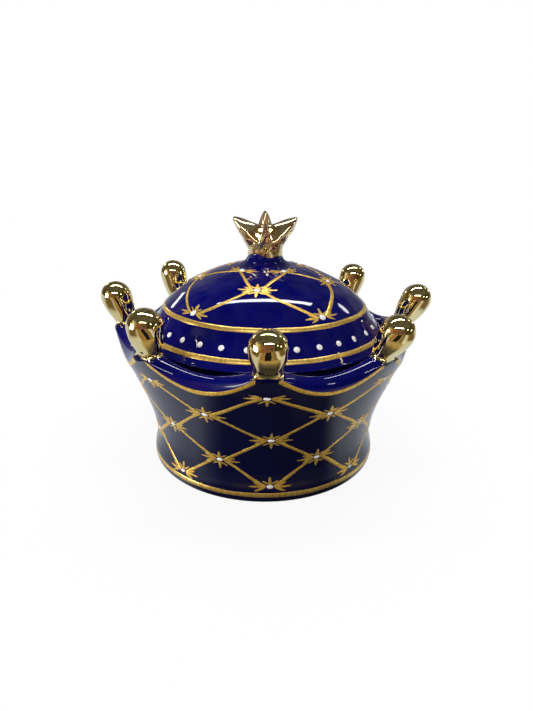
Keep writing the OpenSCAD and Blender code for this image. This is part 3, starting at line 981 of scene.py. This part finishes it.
def paintRim():
    # one stroke from peak to peak along the edge of the lip, as wide as
    # width + sway sin(n a + p) + more exp(-(d / reach)^2), d degrees from its end
    grids, perDegree = [], bowl["columns"] / 360
    sway, waves, phase = rimLine["sway"]
    more, reach = rimLine["endWidth"]
    for n in range(8):
        start, stop = pitch * n, pitch * (n + 1)
        a = np.linspace(start + rimLine["ends"][0], stop - rimLine["ends"][1],
                        rimLine["stations"])
        column = a[:, None] * perDegree
        steady = np.clip(a, start + rimLine["steady"], stop - rimLine["steady"])[:, None]
        slope = onGrid(slopeRow, rimRow + 0 * column, steady * perDegree)
        rowSize = np.linalg.norm(slope, axis=2)
        toEnd = np.minimum(a - a[0], a[-1] - a)
        width = rimLine["width"] + sway * np.sin(np.radians(a * waves + phase * n)) \
            + more * np.exp(-(toEnd / reach) ** 2)
        row = rimRow - rimLine["down"] + strokeAcross * width[:, None] / 2 / rowSize
        column = column + 0 * row
        rise = strokeRise(3)[:, None]
        grids.append(onGrid(lip, row, column) + rise * onGrid(lipNormal, row, column))
    buildPaint("gold_rim_line", [np.array(grids)], brushedLustre, "jar")


def paintLid():
    values = lidPaint
    rows = [(centresAt(domeProfile, h, angles), sprays, (values["dotWidth"], high))
            for h, angles, sprays, high in lidRings]
    gold, white = paintFlowers(domeProfile, rows, values["reach"])
    count = values["rimDots"]
    turns = values["rimDotFirst"] + turnOf(count) + hand.normal(0, values["rimDotMissed"], count)
    rimDots = centresAt(domeProfile, values["rimDotHeight"], turns)
    white.append(dots(domeProfile, rimDots, *values["rimDot"]))
    outer, middle, inner = (row[0] for row in rows)
    stations = values["stations"]
    lines = linesBetween(domeProfile, outer, middle, stations)
    lines += linesBetween(domeProfile, middle, inner, stations, values["inPlan"], 1)
    bands = [band(domeProfile, *row) for row in values["bands"]]
    buildPaint("gold_lid_lines", lines, brushedLustre, "lid", bands=bands)
    buildPaint("gold_lid_flowers", gold, brushedLustre, "lid")
    buildPaint("white_lid_dots", white, whiteEnamel, "lid")


paintBody()
paintRim()
paintLid()
print("painting done")


# Camera, floor and lights

view = {
    "target": (0, 0, 74.8),  # mm
    "distance": 413.4,
    "elevation": 20.004,
    "azimuth": -1.24,
    "roll": 0.565,
    "lens": 27.40,
    "sensor": 36.0,
    "aside": 2.38,  # px that the object stands left of the middle
    "frameHeight": 711,
}


def setUp(name, data, x, y, z, place):
    # a camera or light with these axes, at a place in metres
    matrix = np.eye(4)
    matrix[:3] = np.stack([x, y, z, place], 1)
    thing = added(name, data)
    thing.matrix_world = Matrix(matrix.tolist())
    return thing


def makeCamera():
    # turned about Z, lifted about X (a camera looks down -Z), rolled about its own axis
    e, roll, turn = (math.radians(view[k]) for k in ("elevation", "roll", "azimuth"))
    turned = Matrix.Rotation(turn, 3, "Z") @ Matrix.Rotation(math.pi / 2 - e, 3, "X") \
        @ Matrix.Rotation(roll, 3, "Z")
    x, y, z = np.array(turned).T
    data = bpy.data.cameras.new("camera")
    data.sensor_fit, data.sensor_height, data.lens = "VERTICAL", view["sensor"], view["lens"]
    data.shift_x = view["aside"] / view["frameHeight"]
    data.clip_start = 0.01
    place = (np.array(view["target"]) + view["distance"] * z) * mm
    bpy.context.scene.camera = setUp("camera", data, x, y, z, place)


room = {
    "floorHalf": 3.0,  # metres
    "matt": "#f6f5f3",
    "mattRoughness": 0.6,
    "stir": (1 / 9, 0.06),  # metres: length and range of the waves in what the pot mirrors
    "sides": "#d2d7de",  # the table to both sides of the pot and behind it
    "sidesFar": "#745f42",  # and further out to both sides
    "sidesReach": (0.22, 0.30),  # metres from the axis
    "sideWay": (-0.08, 1.0, 0.0),  # the way that the next shares are measured along
    "sidesFrom": (-0.86, -0.60),
    "sidesEnd": (-0.1, 0.3),  # from here on back it is all of the first colour
    "softLight": "#d2d2d4",  # the table as it lights matt surfaces
    "softLeft": "#ffffff",
    "softLeftTo": (-0.25, -0.05),  # metres along x
    "softNear": "#4a4844",  # and in the pot's shade
    "shadeReach": (0.09, 0.20),  # metres from the axis over which the pot's shade fades
    "glow": 0.92,  # share of plain white in what the camera sees
    "thingsSpan": 0.8,  # sine to both sides of the front that the next row spans
    "beforeThePot": [  # what stands in front, from left to right
        (0.12, "#e9e8e6"), (0.2, "#94754a"), (0.36, "#a88758"), (0.38, "#1c1d1a"),
        (0.6, "#1c1d1a"), (0.62, "#a08c64"), (0.78, "#75603f"), (0.88, "#e9e8e6"),
    ],
    "thingsFrom": (0.19, 0.21),  # metres from the axis where they begin
    "nearSpan": 0.5,  # metres from the axis that the next row spans
    # close round the pot: a dark strip of painted shade from the pot, paler further out
    "paintedShadeNearThePot": [
        (0.0, "#3c3b3a"), (0.235, "#3c3b3a"), (0.255, "#5a5850"), (0.28, "#5a5850"),
        (0.31, "#8a7a5c"), (0.35, "#b09a6c"),
    ],
    "aroundThePot": [  # the room by azimuth in degrees
        (-180, "#96949c"), (-150, "#8f897c"), (-108, "#4f4028"), (-92, "#4f4028"),
        (-84, "#e8e2c8"), (-60, "#e8e2c8"), (-52, "#a97c4c"), (-28, "#7d5a42"),
        (24, "#73594f"), (34, "#3f3c24"), (100, "#45402a"), (132, "#6d6650"), (180, "#96949c"),
    ],
    "aroundStir": (1 / 4, 0.5),  # length and range of its waves, radians
    "streaks": (1 / 7, (0.35, 0.65), (0.45, 1.55)),  # length, noise, brightness it gives
    "ceiling": "#57554a",
    "ceilingFrom": (0.38, 0.62),  # sine of the elevation
    "lampTarget": (0, 0, 0.11),  # metres
    "lamps": {  # place in metres, size in metres, brightness against white
        "ceilingStrip": ((0.0, 0.27, 1.23), (1.35, 0.11), 22.0),
        "frontTube": ((0.0, -1.10, 1.02), (1.20, 0.09), 20.0),
        "leftWindow": ((-1.20, -0.36, 0.21), (0.50, 0.45), 11.0),
        "leftBackStrip": ((-0.80, 1.02, 0.52), (0.22, 0.07), 9.0),
        "rightBackStrip": ((1.02, 0.70, 0.86), (0.07, 0.14), 9.0),
        "rightBackLow": ((1.05, 0.78, 0.38), (0.10, 0.16), 7.0),
        "rightLampNear": ((0.95, -0.72, 0.62), (0.11, 0.09), 12.0),
        "rightLampFar": ((1.24, -0.24, 0.36), (0.11, 0.09), 12.0),
    },
}


def makeFloor():
    # Matt white table top. The camera sees it pale, with a soft shade under the pot. The
    # pot mirrors something else there: in front a dark strip of painted shade from the pot,
    # then dark and brown things, to the sides and behind grey-white, browner further out.
    material, tree, place = newMaterial("paleTableTop")
    size, sway = room["stir"]
    stir = noise(tree, place, size, 2.0, "Color")
    shift = calcVector(tree, "MULTIPLY", stir, (sway, sway, 0))
    moved = calcVector(tree, "ADD", place, shift)
    moved = calcVector(tree, "SUBTRACT", moved, (sway / 2, sway / 2, 0))
    x = axesOf(tree, moved)["X"]
    far = calcVector(tree, "LENGTH", moved)

    def step(value, reach):
        return ranged(tree, value, *reach, smooth=True)

    span, nearSpan = room["thingsSpan"], room["nearSpan"]
    things = ranged(tree, calc(tree, "DIVIDE", x, far), -span, span)
    things = ramp(tree, things, room["beforeThePot"])
    # painted shade of the pot close round it, in what the pot mirrors
    near = ramp(tree, ranged(tree, far, 0, nearSpan), room["paintedShadeNearThePot"])
    front = blend(tree, step(far, room["thingsFrom"]), near, things)
    share = calc(tree, "DIVIDE", calcVector(tree, "DOT_PRODUCT", moved, room["sideWay"]), far)
    sides = blend(tree, step(far, room["sidesReach"]), room["sides"], room["sidesFar"])
    sides = blend(tree, step(share, room["sidesEnd"]), sides, room["sides"])
    colour = blend(tree, step(share, room["sidesFrom"]), front, sides)
    soft = blend(tree, step(x, room["softLeftTo"]), room["softLeft"], room["softLight"])
    soft = blend(tree, step(far, room["shadeReach"]), room["softNear"], soft)
    path = addNode(tree, "LightPath").outputs
    colour = blend(tree, path["Is Diffuse Ray"], colour, soft)
    mirrored = addNode(tree, "Emission", {"Color": colour, "Strength": 1.0})
    matt = addNode(tree, "BsdfPrincipled",
                   {"Base Color": linear(room["matt"]), "Roughness": room["mattRoughness"]})
    bright = addNode(tree, "Emission", {"Color": (1, 1, 1, 1), "Strength": 1.0})

    def mixShaders(factor, first, second):
        return addNode(tree, "MixShader",
                       {0: factor, 1: first.outputs[0], 2: second.outputs[0]})

    seen = mixShaders(step(far, room["shadeReach"]), matt, bright)
    seen = mixShaders(room["glow"], seen, bright)
    both = mixShaders(path["Is Camera Ray"], mirrored, seen)
    addNode(tree, "OutputMaterial", {"Surface": both.outputs[0]})
    half = room["floorHalf"]
    mesh = bpy.data.meshes.new("floor")
    mesh.from_pydata([(-half, -half, 0), (half, -half, 0), (half, half, 0), (-half, half, 0)],
                     [], [(0, 1, 2, 3)])
    mesh.materials.append(material)
    floor = added("floor", mesh)


def makeWorld():
    # White to the camera. The pot mirrors a room: colours by azimuth, atan2(x, -y), low
    # down, and a dark ceiling above them.
    world = bpy.data.worlds.new("room")
    bpy.context.scene.world = world
    tree = emptyTree(world)
    direction = addNode(tree, "TexCoord").outputs["Generated"]
    axes = axesOf(tree, direction)
    azimuth = calc(tree, "ARCTAN2", axes["X"], calc(tree, "MULTIPLY", axes["Y"], -1.0))
    size, sway = room["aroundStir"]
    stir = noise(tree, direction, size, 3.0)
    azimuth = calc(tree, "ADD", azimuth, calc(tree, "MULTIPLY_ADD", stir, sway, -sway / 2))
    low = ramp(tree, ranged(tree, azimuth, -math.pi, math.pi),
               [((at + 180) / 360, shade) for at, shade in room["aroundThePot"]])
    size, spread, brightness = room["streaks"]
    streaks = noise(tree, direction, size, 4.0)
    above = ranged(tree, axes["Z"], *room["ceilingFrom"], smooth=True)
    mirrored = calcVector(tree, "MULTIPLY", blend(tree, above, low, room["ceiling"]),
                          ranged(tree, streaks, *spread, brightness))
    seen = blend(tree, addNode(tree, "LightPath").outputs["Is Camera Ray"],
                 mirrored, "#ffffff")
    background = addNode(tree, "Background", {"Color": seen, "Strength": 1.0})
    addNode(tree, "OutputWorld", {"Surface": background.outputs["Background"]})


def placeLamp(name, place, size, brightness):
    # a rectangle that faces the pot, with power = brightness * pi * area
    data = bpy.data.lights.new(name, "AREA")
    data.shape, data.size, data.size_y = "RECTANGLE", *size
    data.energy = brightness * math.pi * size[0] * size[1]
    z = unit(np.array(place) - np.array(room["lampTarget"]))
    x = unit(np.cross((0, 0, 1), z))
    setUp(name, data, x, np.cross(z, x), z, place)


makeCamera()
makeFloor()
makeWorld()
for name, lamp in room["lamps"].items():
    placeLamp(name, *lamp)
bpy.context.scene.view_settings.view_transform = "Standard"
print("stage set")
